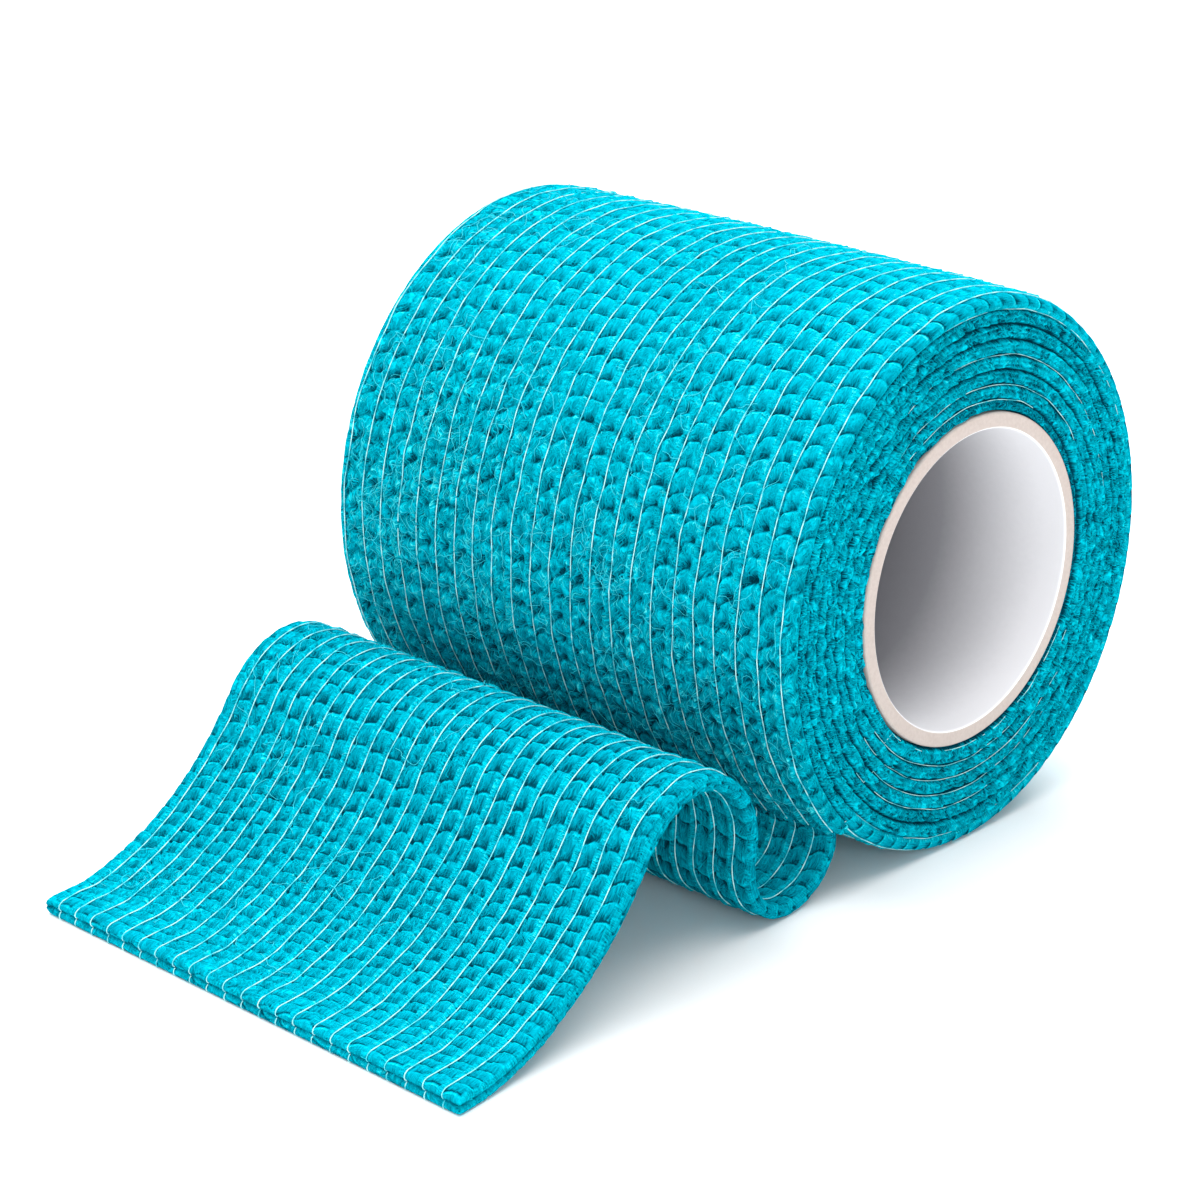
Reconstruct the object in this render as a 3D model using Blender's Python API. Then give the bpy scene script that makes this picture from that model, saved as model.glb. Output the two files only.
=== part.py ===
"""Cohesive elastic bandage: a strip of crinkled cloth with lengthwise elastic threads, wound on
a paperboard core. The outer turn peels off low at the front, drops to the table in a round loop,
rises over a crest and runs out flat to the hem.

Units are metres and degrees. +X runs along the core, -Y is the way the loose end is pulled out,
+Z is up. The origin lies on the table, under the middle of the core's axis. Angles go round the
core from +Y over +Z, so 90 is the top of the roll and 270 is its foot.
"""

import math
from collections import namedtuple

import bmesh
import bpy

# ---- Core ----------------------------------------------------------------------------------
CORE_RADIUS = 0.01385
CORE_WALL = 0.00135
CORE_LENGTH = 0.0498
RIM_CHAMFER = 0.0004
CORE_SEGMENTS = 64
FIT_GAP = 0.0003

# ---- Wound roll ----------------------------------------------------------------------------
BANDAGE_WIDTH = 0.050
TURNS = 8
TURN_PITCH = 0.00117
PEEL_ANGLE = 225.0
ROLL_STEPS = 48
OVALITY = 0.017            # the outer turn is this much taller, and less wide, than a circle
CROWN = 0.00025            # the middle of the roll bulges by this much
END_GROOVE = 0.0004        # the gaps between the turns' edges are this deep
FOOT_ANGLE = 270.0
FOOT_HALF_ANGLE = 7.5      # the table flattens the roll over this much to each side

INNER_RADIUS = CORE_RADIUS + FIT_GAP
PEEL_RADIUS = INNER_RADIUS + TURNS * TURN_PITCH

# ---- Cloth: columns of crinkle between lengthwise elastic threads ---------------------------
THREADS = 23
ROLL_EDGE_MARGIN = 0.00106     # cut edge to the first thread, as it curls over the roll's end
END_EDGE_MARGIN = 0.0017       # the same on the loose end
ROLL_RIB_DEPTH = 0.00045
END_RIB_DEPTH = 0.00022
EDGE_CREST_RISE = 0.75         # height of the half column at a cut edge, 1 being a full crest

# ---- Loose end -----------------------------------------------------------------------------
LOOSE_WIDTH = 0.0473
ROOT_THICKNESS = TURN_PITCH - FIT_GAP
STATION_ANGLE = 18.0           # a bend has one section for each stretch of this much
VEER = 0.0037                  # the hem lies this far towards +X of the roll
VEER_START_Y = -0.019
VEER_END_Y = -0.0607
SKEW = 0.03                    # the folds lean: the +X edge is this much further out, per metre
SKEW_FULL_Y = -0.030
HEM_LENGTH = 0.0026
PRESSED_HEIGHT = 0.00034       # cloth that would hang lower than this is pressed flat on the table
HEM_GROOVE = 0.0004            # the two plies part by a groove this deep, round the hem
GROOVE_START_Y = -0.050

Bend = namedtuple("Bend", "name radius turn thickness")
BENDS = (
    #     name       radius   turn   thickness at its end
    Bend("peel",    0.0016,  -61.0, 0.00115),
    Bend("loop",    0.00519, -176.0, 0.00128),
    Bend("crest",   0.0069,  111.0, 0.00130),
    Bend("brow",    0.0086,   45.0, 0.00130),
    Bend("slope",   0.0270,  -45.0, 0.00140),
    Bend("landing", 0.0100,   -9.0, 0.00160),
)

CLOTH_COLOUR = "00AFC0"
BOARD_COLOUR = "E9DED8"


def linear_colour(hex_code):
    """An sRGB hex code as linear red, green and blue with full alpha."""
    channels = [int(hex_code[i:i + 2], 16) / 255 for i in (0, 2, 4)]
    linear = [c / 12.92 if c <= 0.04045 else ((c + 0.055) / 1.055) ** 2.4 for c in channels]
    return (*linear, 1.0)


def surface_material(name, hex_code, roughness):
    material = bpy.data.materials.new(name)
    material.use_nodes = True
    shader = material.node_tree.nodes["Principled BSDF"]
    shader.inputs["Base Color"].default_value = linear_colour(hex_code)
    shader.inputs["Roughness"].default_value = roughness
    shader.inputs["Metallic"].default_value = 0.0
    return material


def make_object(name, bm, material, parent, sharp_angle):
    """Close the bmesh's shading and faces and put it in the scene under its parent."""
    bmesh.ops.recalc_face_normals(bm, faces=bm.faces)
    mesh = bpy.data.meshes.new(name)
    bm.to_mesh(mesh)
    bm.free()
    mesh.materials.append(material)
    mesh.shade_smooth()
    mesh.set_sharp_from_angle(angle=math.radians(sharp_angle))
    obj = bpy.data.objects.new(name, mesh)
    bpy.context.scene.collection.objects.link(obj)
    obj.parent = parent
    return obj


# ---- Shapes shared by the roll and the loose end ---------------------------------------------

def column_stations(width, edge_margin):
    """Places across the cloth as (x, rise): rise is 0 at a thread and 1 on a column's crest."""
    pitch = (width - 2 * edge_margin) / (THREADS - 1)
    first_thread = edge_margin - width / 2
    crest = width / 2 - edge_margin / 2
    stations = [(-width / 2, 0.0), (-crest, EDGE_CREST_RISE)]
    for thread in range(THREADS):
        x = first_thread + thread * pitch
        stations.append((x, 0.0))
        if thread < THREADS - 1:
            stations.append((x + pitch / 2, 1.0))
    stations += [(crest, EDGE_CREST_RISE), (width / 2, 0.0)]
    return stations


def outer_radius(angle):
    """The spiral's outer surface, from one turn before the peel up to the peel."""
    return PEEL_RADIUS - TURN_PITCH * (PEEL_ANGLE - angle) / 360


def oval_share(radius):
    """How much of the roll's out-of-roundness has built up at this radius."""
    return OVALITY * (radius - INNER_RADIUS) / (PEEL_RADIUS - INNER_RADIUS)


foot_radius = outer_radius(FOOT_ANGLE - 360)
AXIS_HEIGHT = foot_radius * (1 + OVALITY) * math.cos(math.radians(FOOT_HALF_ANGLE))


def roll_point(x, radius, angle):
    """A point of the wound cloth, in world coordinates."""
    turn = math.radians(angle)
    share = oval_share(radius)
    y = radius * math.cos(turn) * (1 - share)
    z = AXIS_HEIGHT + radius * math.sin(turn) * (1 + share)
    return (x, y, z)


# ---- Core ------------------------------------------------------------------------------------

def build_core(parent, material):
    """A paperboard tube with its inner rims bevelled, turned about the roll's axis."""
    bore = CORE_RADIUS - CORE_WALL
    half = CORE_LENGTH / 2
    profile = (
        (-half, bore + RIM_CHAMFER),
        (-half, CORE_RADIUS),
        (half, CORE_RADIUS),
        (half, bore + RIM_CHAMFER),
        (half - RIM_CHAMFER, bore),
        (-half + RIM_CHAMFER, bore),
    )
    bm = bmesh.new()
    verts = [bm.verts.new((x, radius, 0.0)) for x, radius in profile]
    edges = [bm.edges.new((a, b)) for a, b in zip(verts, verts[1:] + verts[:1])]
    bmesh.ops.spin(bm, geom=verts + edges, cent=(0, 0, 0), axis=(1, 0, 0),
                   angle=math.tau, steps=CORE_SEGMENTS, use_merge=True)
    core = make_object("core", bm, material, parent, 35)
    core.location = (0, 0, AXIS_HEIGHT)


# ---- Wound roll --------------------------------------------------------------------------------
# The end faces are cut into rings that follow the spiral, numbered in half turns from the outer
# surface: odd rings are the ridges of the turns' edges, even rings the gaps between turns. One
# turn on, ring h has become ring h + 2, so the two ends of the net share their points.

RIDGE_RING = 1
LAST_GAP_RING = 2 * (TURNS - 1)
LAST_RIDGE_RING = LAST_GAP_RING + 1
BORE_RING = LAST_GAP_RING + 2


def roll_angle(step):
    return PEEL_ANGLE - 360 + 360 * step / ROLL_STEPS


def on_foot(angle):
    return abs((angle - FOOT_ANGLE + 180) % 360 - 180) <= FOOT_HALF_ANGLE + 0.01


def end_face_point(side, ring, step):
    """A point of an end face. side is -1 or 1, for the -X or the +X end."""
    angle = roll_angle(step)
    half_width = BANDAGE_WIDTH / 2
    gap_x = half_width - END_GROOVE
    radius = outer_radius(angle) - ring * TURN_PITCH / 2
    x = half_width if ring % 2 else gap_x
    if ring == LAST_RIDGE_RING:
        radius = (outer_radius(angle) - LAST_GAP_RING * TURN_PITCH / 2 + INNER_RADIUS) / 2
        x = gap_x + END_GROOVE * step / ROLL_STEPS
    if ring == BORE_RING:
        radius = INNER_RADIUS
    return roll_point(side * x, radius, angle)


def skin_point(station, step):
    """A point of the outer turn: ribbed, crowned, and flat where it stands on the table."""
    x, rise = station
    angle = roll_angle(step)
    middle = 1 - (2 * x / BANDAGE_WIDTH) ** 2
    radius = outer_radius(angle) + CROWN * middle - ROLL_RIB_DEPTH * (1 - rise)
    point = roll_point(x, radius, angle)
    if on_foot(angle):
        return (point[0], point[1], 0.0)
    return point


def build_roll(parent, material):
    bm = bmesh.new()
    stations = column_stations(BANDAGE_WIDTH, ROLL_EDGE_MARGIN)
    last = len(stations) - 1
    made = {}

    def end_vert(side, ring, step):
        if step == 0:
            ring, step = min(ring + 2, BORE_RING), ROLL_STEPS
        if ring == BORE_RING:
            step %= ROLL_STEPS
        key = (side, ring, step)
        if key not in made:
            made[key] = bm.verts.new(end_face_point(side, ring, step))
        return made[key]

    def skin_vert(column, step):
        if column in (0, last):
            return end_vert(-1 if column == 0 else 1, RIDGE_RING, step)
        key = ("skin", column, step)
        if key not in made:
            made[key] = bm.verts.new(skin_point(stations[column], step))
        return made[key]

    def face(*corners):
        distinct = list(dict.fromkeys(corners))
        bm.faces.new(distinct)

    for step in range(ROLL_STEPS):
        for column in range(last):
            face(skin_vert(column, step), skin_vert(column + 1, step),
                 skin_vert(column + 1, step + 1), skin_vert(column, step + 1))
        for side in (-1, 1):
            for ring in range(RIDGE_RING, BORE_RING):
                corners = (end_vert(side, ring, step), end_vert(side, ring + 1, step),
                           end_vert(side, ring + 1, step + 1), end_vert(side, ring, step + 1))
                if len(set(corners)) > 2:
                    face(*corners)
        face(end_vert(-1, BORE_RING, step), end_vert(1, BORE_RING, step),
             end_vert(1, BORE_RING, step + 1), end_vert(-1, BORE_RING, step + 1))

    # The step where the outer turn peels off, down to the turn below it.
    for column in range(1, last - 1):
        face(skin_vert(column, ROLL_STEPS), skin_vert(column + 1, ROLL_STEPS),
             skin_vert(column + 1, 0), skin_vert(column, 0))
    for side, edge_column, inner_column in ((-1, 0, 1), (1, last, last - 1)):
        face(skin_vert(inner_column, ROLL_STEPS), skin_vert(edge_column, ROLL_STEPS),
             end_vert(side, RIDGE_RING + 1, ROLL_STEPS), skin_vert(edge_column, 0),
             skin_vert(inner_column, 0))
    make_object("wound_roll", bm, material, parent, 60)


# ---- Loose end ---------------------------------------------------------------------------------

Section = namedtuple("Section", "y z heading thickness")


def loose_end_sections():
    """The middle line of the loose end, from the peel to the hem, as a list of sections."""
    start_radius = PEEL_RADIUS - ROOT_THICKNESS / 2
    _, y, z = roll_point(0.0, start_radius, PEEL_ANGLE)
    heading = math.radians(PEEL_ANGLE + 90 - 360)
    thickness = ROOT_THICKNESS
    y += FIT_GAP * math.cos(heading)
    z += FIT_GAP * math.sin(heading)
    sections = [Section(y, z, heading, thickness)]
    for bend in BENDS:
        pieces = max(2, math.ceil(abs(bend.turn) / STATION_ANGLE))
        turn = math.radians(bend.turn) / pieces
        chord = 2 * bend.radius * math.sin(abs(turn) / 2)
        growth = (bend.thickness - thickness) / pieces
        for _ in range(pieces):
            y += chord * math.cos(heading + turn / 2)
            z += chord * math.sin(heading + turn / 2)
            heading += turn
            thickness += growth
            sections.append(Section(y, z, heading, thickness))
    y += HEM_LENGTH * math.cos(heading)
    z += HEM_LENGTH * math.sin(heading)
    sections.append(Section(y, z, heading, thickness))
    return sections


def share_between(value, start, end):
    return min(max((value - start) / (end - start), 0.0), 1.0)


def sheet_point(section, x, offset):
    """A point of the sheet, offset from its middle line towards the roll's outer side."""
    y = section.y + offset * math.sin(section.heading)
    z = section.z - offset * math.cos(section.heading)
    veer = VEER * share_between(section.y, VEER_START_Y, VEER_END_Y)
    skew = SKEW * share_between(section.y, VEER_START_Y, SKEW_FULL_Y)
    if z < PRESSED_HEIGHT:
        z = 0.0
    return (x + veer, y - x * skew, z)


def build_loose_end(parent, material):
    bm = bmesh.new()
    stations = column_stations(LOOSE_WIDTH, END_EDGE_MARGIN)
    loops = []
    for section in loose_end_sections():
        outer, inner = [], []
        for x, rise in stations:
            half = section.thickness / 2 - END_RIB_DEPTH * (1 - rise)
            outer.append(bm.verts.new(sheet_point(section, x, half)))
            inner.append(bm.verts.new(sheet_point(section, x, -half)))
        groove = HEM_GROOVE if section.y < GROOVE_START_Y else 0.0
        edge = LOOSE_WIDTH / 2 - groove
        right = bm.verts.new(sheet_point(section, edge, 0.0))
        left = bm.verts.new(sheet_point(section, -edge, 0.0))
        loops.append(outer + [right] + inner[::-1] + [left])
    for loop, following in zip(loops, loops[1:]):
        for i in range(len(loop)):
            j = (i + 1) % len(loop)
            bm.faces.new((loop[i], loop[j], following[j], following[i]))

    # The root is a flat end; the hem's end has its two plies parted by a groove.
    count = len(stations)
    for loop, groove in ((loops[0], 0.0), (loops[-1], HEM_GROOVE)):
        outer, inner = loop[:count], loop[count + 1:2 * count + 1][::-1]
        right, left = loop[count], loop[-1]
        middle = [left]
        for above, below in zip(outer[1:-1], inner[1:-1]):
            centre = (above.co + below.co) / 2
            centre.y += groove
            middle.append(bm.verts.new(centre))
        middle.append(right)
        for row_a, row_b in ((outer, middle), (middle, inner)):
            for i in range(count - 1):
                bm.faces.new((row_a[i], row_a[i + 1], row_b[i + 1], row_b[i]))
    make_object("loose_end", bm, material, parent, 60)


def main():
    for obj in list(bpy.data.objects):
        bpy.data.objects.remove(obj, do_unlink=True)
    cloth = surface_material("crinkled_cohesive_cloth", CLOTH_COLOUR, 0.85)
    board = surface_material("white_paperboard", BOARD_COLOUR, 0.55)
    bandage = bpy.data.objects.new("bandage", None)
    bpy.context.scene.collection.objects.link(bandage)
    build_core(bandage, board)
    build_roll(bandage, cloth)
    build_loose_end(bandage, cloth)


main()
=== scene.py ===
# %% [markdown]
# # A roll of cohesive bandage
#
# A cohesive bandage is a strip of soft nonwoven cloth with stretched elastic threads laid along
# it. When the threads relax they gather the cloth into rows of small puffs, with a thread in the
# valley between each two columns. The strip is wound on a paperboard core, and here its loose end
# drops to the table, folds up over a crest and runs out to a two-ply hem.
#
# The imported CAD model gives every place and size. This notebook puts real cloth on it.

import math

import bmesh
import bpy
import numpy as np
from mathutils import Matrix, Vector


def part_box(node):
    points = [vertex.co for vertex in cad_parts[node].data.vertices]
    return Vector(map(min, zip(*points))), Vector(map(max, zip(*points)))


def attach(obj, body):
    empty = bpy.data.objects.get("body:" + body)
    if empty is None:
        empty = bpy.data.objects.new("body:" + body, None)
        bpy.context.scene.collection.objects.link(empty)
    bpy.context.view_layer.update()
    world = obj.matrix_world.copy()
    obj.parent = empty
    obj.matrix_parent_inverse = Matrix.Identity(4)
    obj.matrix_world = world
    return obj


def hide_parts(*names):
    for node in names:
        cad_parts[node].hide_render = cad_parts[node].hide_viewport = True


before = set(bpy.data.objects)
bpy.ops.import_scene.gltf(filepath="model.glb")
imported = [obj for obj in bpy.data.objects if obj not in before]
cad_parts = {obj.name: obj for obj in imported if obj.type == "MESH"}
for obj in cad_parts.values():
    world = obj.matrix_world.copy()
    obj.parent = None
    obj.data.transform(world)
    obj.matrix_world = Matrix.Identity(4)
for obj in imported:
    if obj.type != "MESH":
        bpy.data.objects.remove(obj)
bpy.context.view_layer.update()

# %% [markdown]
# ## Sizes
#
# The core's box gives the axis and the radius, and the roll's box gives the width of the cloth.
# The rest are driving sizes of the CAD model. Angles go round the core from +Y over +Z, so 90
# degrees is the top of the roll and 270 its foot.

# %% Driving sizes, in metres and degrees
MM = 0.001
core_low, core_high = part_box("core")
roll_low, roll_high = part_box("wound_roll")
AXIS_Z = (core_low.z + core_high.z) / 2
CORE_RADIUS = (core_high.z - core_low.z) / 2
CORE_LENGTH = core_high.x - core_low.x
WIDTH = roll_high.x - roll_low.x

CORE_WALL = 1.35 * MM
FIT_GAP = 0.3 * MM
TURNS = 8
TURN_PITCH = 1.17 * MM
PEEL_ANGLE = 225.0
OVALITY = 0.017
CROWN = 0.25 * MM
INNER_RADIUS = CORE_RADIUS + FIT_GAP
PEEL_RADIUS = INNER_RADIUS + TURNS * TURN_PITCH

THREADS = 23
EDGE_TO_THREAD = 1.06 * MM
THREAD_PITCH = (WIDTH - 2 * EDGE_TO_THREAD) / (THREADS - 1)
ROW_PITCH = 1.9 * MM
print("thread pitch in mm:", round(THREAD_PITCH / MM, 3))


# %% [markdown]
# ## Colour and node helpers
#
# Colours are written as sRGB hex codes, and Blender mixes light in linear values, so one function
# turns the codes to linear. A second one adds a shader node with its values and links, and three
# more do what every finish here needs: speckle it, colour it by a ramp and raise its relief.

# %% Helpers for materials
def linear(hex_code):
    """An sRGB hex code as linear red, green, blue and alpha."""
    channels = [int(hex_code[i:i + 2], 16) / 255 for i in (0, 2, 4)]
    values = [c / 12.92 if c <= 0.04045 else ((c + 0.055) / 1.055) ** 2.4 for c in channels]
    return (*values, 1.0)


def add_node(tree, kind, settings=None, values=None, links=None):
    """Add one node. settings are its own properties, values are constants for its sockets, and
    links maps an input socket to an output socket of another node."""
    node = tree.nodes.new(kind)
    for name, value in (settings or {}).items():
        setattr(node, name, value)
    for name, value in (values or {}).items():
        node.inputs[name].default_value = value
    for name, source in (links or {}).items():
        tree.links.new(source, node.inputs[name])
    return node


def new_material(name, roughness, specular=0.5):
    """A node material with its shader and output joined, as (material, tree, shader)."""
    material = bpy.data.materials.new(name)
    material.use_nodes = True
    tree = material.node_tree
    tree.nodes.clear()
    shader = tree.nodes.new("ShaderNodeBsdfPrincipled")
    output = tree.nodes.new("ShaderNodeOutputMaterial")
    tree.links.new(shader.outputs["BSDF"], output.inputs["Surface"])
    shader.inputs["Roughness"].default_value = roughness
    shader.inputs["Specular IOR Level"].default_value = specular
    return material, tree, shader


def speckle(tree, size, detail):
    """Noise in the object's own space, with spots of a size in metres, as a socket."""
    place = add_node(tree, "ShaderNodeTexCoord")
    noise = add_node(tree, "ShaderNodeTexNoise", values={"Scale": 1 / size, "Detail": detail},
                     links={"Vector": place.outputs["Object"]})
    return noise.outputs["Fac"]


def colour_by(tree, shader, level, stops):
    """Give the shader the colour of a level, between (level, hex code) stops."""
    ramp = add_node(tree, "ShaderNodeValToRGB", links={"Fac": level})
    elements = ramp.color_ramp.elements
    elements[0].position, elements[1].position = stops[0][0], stops[-1][0]
    for position, _ in stops[1:-1]:
        elements.new(position)
    for element, (_, hex_code) in zip(elements, stops):
        element.color = linear(hex_code)
    tree.links.new(ramp.outputs["Color"], shader.inputs["Base Color"])


def raise_relief(tree, shader, height, distance, strength=1.0):
    """Bump the shader's normal by a height whose full step is distance, in metres."""
    bump = add_node(tree, "ShaderNodeBump", values={"Strength": strength, "Distance": distance},
                    links={"Height": height})
    tree.links.new(bump.outputs["Normal"], shader.inputs["Normal"])


# %% [markdown]
# ## The crinkle
#
# The puffs are as high as the cloth is thick and show along every edge, so they are real geometry
# and not a bump texture. The height comes from one function of two lengths on the flat cloth, u
# across and s along it:
#
# - a narrow valley at each thread, with a rope-like leg of gathered cloth along each side of it,
#   the stronger one on its left,
# - a puff for each row of each column, which rises to a rim that joins the two legs like an arch,
#   with a steep drop behind the rim,
# - a dent behind each rim, a small pit beside the thread where two rows meet, and a notch
#   between pits where the cloth is matted,
# - tangled wrinkles, stronger where the cloth is more matted.
#
# Chance comes from seeded tables, so that each run gives the same cloth.

# %% Smooth seeded noise over the cloth
NOISE_TABLE = 257


def smooth_noise(u, s, cell_u, cell_s, seed):
    """Soft random hills from -1 to 1, about cell_u by cell_s in size, the same for any set of
    points, so that a thread finds the cloth's own height under it."""
    grid_u = u / cell_u
    grid_s = s / cell_s
    i = np.floor(grid_u).astype(int)
    j = np.floor(grid_s).astype(int)
    table = np.random.default_rng(seed).uniform(-1, 1, (NOISE_TABLE, NOISE_TABLE))
    a = grid_u - i
    b = grid_s - j
    a = a * a * (3 - 2 * a)
    b = b * b * (3 - 2 * b)
    i, j = i % NOISE_TABLE, j % NOISE_TABLE
    i_next, j_next = (i + 1) % NOISE_TABLE, (j + 1) % NOISE_TABLE
    near = table[i, j] * (1 - b) + table[i, j_next] * b
    far = table[i_next, j] * (1 - b) + table[i_next, j_next] * b
    return near * (1 - a) + far * a


def share_between(value, start, end):
    """0 before start, 1 after end and an even rise between."""
    return np.clip((value - start) / (end - start), 0, 1)


def smooth_step(value, start, end):
    """The same with a soft rise."""
    t = share_between(value, start, end)
    return t * t * (3 - 2 * t)


# %% [markdown]
# Every point also gets its place among the puffs: one count goes up by 1 from thread to thread,
# and the other by 1 from row to row. The rows follow each other across the cloth, but they drift,
# and each row bends back towards the threads, which is why a puff looks like an arch.
#
# The roll and the two sides of the loose end differ in character, so each has its own seed and
# its own line in a table. The roll is matted by handling, most of all low down on its left. The
# loose end is clear, with ropes beside the threads, and its rows are finer towards the hem. The
# length is counted backwards there, so it is negative.

# %% Places among the puffs
ARCH = 0.24
LEAN = 0.35
DRIFT = (
    # share of a row, hill across, hill along
    (0.42, 13 * MM, 9 * MM),
    (0.13, 2.3 * MM, 3.1 * MM),
    (0.06, 1.0 * MM, 2.0 * MM),
)
ROLL_SEED = 11
LOOSE_SEED = {1: 71, -1: 83}
FINER_ROWS_FROM = 44 * MM
FINER_SHARE = 0.5
CLOTH_SIDES = {
    # seed:          matted, less to the right, less on top, ropes, puffs
    ROLL_SEED:       (0.78, 0.45, 0.55, 1.0, 1.0),
    LOOSE_SEED[1]:   (0.14, 0.25, 0.0, 2.4, 0.4),
    LOOSE_SEED[-1]:  (0.25, 0.30, 0.0, 1.8, 0.6),
}


def on_top(s):
    """0 on the front of the roll and on the loose end, and 1 from the top of the roll on."""
    return smooth_step(s, 22 * MM, 42 * MM)


def matting(u, s, seed):
    """How matted the cloth is, from 0 for clear puffs to 1 for a tangle."""
    matted, less_to_the_right, less_on_top = CLOTH_SIDES[seed][:3]
    patches = smooth_noise(u, s, 7 * MM, 7 * MM, seed + 9)
    matted = matted - less_to_the_right * u / WIDTH - less_on_top * on_top(s)
    return np.clip(matted + 0.3 * patches, 0, 1)


def puff_place(u, s, pitch, seed):
    """(count of threads, count of rows) for each point, both growing evenly on average."""
    threads = u / pitch + (THREADS - 1) / 2
    across = np.abs(2 * (threads - np.floor(threads)) - 1)
    arch = ARCH * (1 + 0.8 * smooth_noise(u, s, 4 * MM, 4 * MM, seed + 5))
    finer = FINER_SHARE * np.maximum(-s - FINER_ROWS_FROM, 0)
    rows = (s - finer) / ROW_PITCH + arch * across ** 2
    for number, (share, hill_across, hill_along) in enumerate(DRIFT):
        rows = rows + share * smooth_noise(u, s, hill_across, hill_along, seed + number)
    ragged = smooth_noise(u, s, 0.8 * MM, 0.8 * MM, seed + 4)
    lean = LEAN * (threads - np.floor(threads) - 0.5)
    return threads, rows + (0.13 * ragged - lean) * matting(u, s, seed)


# %% The height of the crinkled cloth
PUFF_HEIGHT = 0.18 * MM
LEG_HEIGHT = 0.15 * MM
RIM_HEIGHT = 0.07 * MM
DENT_DEPTH = 0.30 * MM
CORNER_PIT = 0.44 * MM
THREAD_VALLEY = 0.05 * MM
WRINKLE = 0.055 * MM
EASE_ON_TOP = 0.35
PUFF_TABLE = 211


def bell(value, centre, width, power=2):
    """1 at the centre and a soft fall to 0 on both sides."""
    return np.exp(-(np.abs(value - centre) / width) ** power)


def chance_of_puffs(column, row, groove, side, seed):
    """Sizes of the parts of each puff, around 1, and how far its dent is shifted across."""
    rng = np.random.default_rng(seed + 6)
    shape = (THREADS + 2, PUFF_TABLE)
    next_thread = column + (side > 0)
    row = row % PUFF_TABLE
    groove = groove % PUFF_TABLE
    return {
        "puff": rng.uniform(0.6, 1.25, shape)[column, row],
        "right_leg": rng.uniform(0.5, 1.4, shape)[column, row],
        "left_leg": rng.uniform(0.0, 1.1, shape)[column, row],
        "dent": np.clip(rng.normal(0.95, 0.3, shape), 0.3, 1.6)[column, groove],
        "dent_shift": rng.uniform(-0.32, 0.20, shape)[column, groove],
        "pit": rng.uniform(0.4, 1.4, shape)[next_thread, groove],
        "notch": rng.uniform(0.1, 1.1, shape)[next_thread, row],
    }


def crinkle(u, s, pitch, wraps, seed):
    """Height of the cloth, about 0 on the puffs and less in the valleys, dents and pits.
    wraps says that the column outside the last thread is a full one, curled round an edge."""
    threads, rows = puff_place(u, s, pitch, seed)
    if not wraps:
        threads = np.clip(threads, -0.5, THREADS - 0.5)
    column = np.floor(threads).astype(int)
    side = 2 * (threads - column) - 1
    across = np.abs(side)
    row = np.floor(rows).astype(int)
    groove = np.rint(rows).astype(int)
    within = rows - row
    past_groove = rows - groove
    matted = matting(u, s, seed)

    sizes = chance_of_puffs(column, row, groove, side, seed)
    ropes, puffs = CLOTH_SIDES[seed][3:]

    # side is -1 to 1 across a column, and within is 0 to 1 along a row.
    rope = bell(side, 0.62, 0.27, 4) * np.clip(ropes - 1, 0, 1)
    off_rope = 1 - 0.9 * rope
    rise = within ** 0.8 * (1 - smooth_step(within, 0.88, 1.0)) * off_rope
    puff = (1 - across ** 4) * rise * sizes["puff"] * (1 - 0.5 * matted) * puffs - 0.6 * puffs
    leg = bell(side, -0.66, 0.20) * sizes["left_leg"] * (0.7 + 0.3 * np.sin(np.pi * within))
    leg = leg + bell(side, 0.62, 0.24) * (0.5 + 0.5 * sizes["right_leg"]) * ropes
    leg = leg * (1 + 0.2 * matted)
    arch = smooth_step(within, 0.62, 0.86) * (1 - smooth_step(within, 0.90, 1.0))
    arch = arch * (1 - across ** 4) * (1 - matted)
    bent = side + 0.35 * smooth_noise(u, s, 0.7 * MM, 0.7 * MM, seed + 10)
    reach = np.where(past_groove > 0.10, 0.22, 0.12)
    dent = bell(past_groove, 0.10, reach) * bell(bent, sizes["dent_shift"], 0.42, 3)
    dent = dent * sizes["dent"]
    pit = bell(across, 0.86, 0.12) * bell(past_groove, 0.02, 0.13) * sizes["pit"]
    pit = pit * (0.8 + 0.6 * matted)
    notch = bell(across, 0.90, 0.11) * bell(within, 0.52, 0.10) * sizes["notch"] * matted
    tangle = smooth_noise(u, s, 0.80 * MM, 0.50 * MM, seed + 7)
    tangle = tangle + smooth_noise(u + s / 3, s - u / 3, 0.42 * MM, 0.60 * MM, seed + 8)
    height = PUFF_HEIGHT * puff + LEG_HEIGHT * leg + RIM_HEIGHT * arch * off_rope
    height = height - DENT_DEPTH * dent * (1 + 0.35 * matted) * off_rope
    height = height - CORNER_PIT * (pit + 0.7 * notch) * (1 - 0.5 * rope)
    height = height - THREAD_VALLEY * smooth_step(across, 0.78, 0.96)
    height = height + WRINKLE * tangle * (0.6 + 1.6 * matted)
    return height * (1 - EASE_ON_TOP * on_top(s))


# %% [markdown]
# ## From flat cloth to wound cloth
#
# A flat grid is the natural start, because both the threads and the rows run straight on it. Each
# of its points learns its own two lengths on the cloth, and one function carries it to its place
# in the roll or the loose end. The lengths also become the UV map, so that patterns in the
# material follow the cloth round every bend.

# %% A flat grid that remembers its lengths
def finished_mesh(name, bm):
    """What was built in bm, as a mesh."""
    mesh = bpy.data.meshes.new(name)
    bm.to_mesh(mesh)
    bm.free()
    return mesh


def in_scene(name, data):
    """A new object in the scene."""
    made = bpy.data.objects.new(name, data)
    bpy.context.scene.collection.objects.link(made)
    return made


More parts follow.
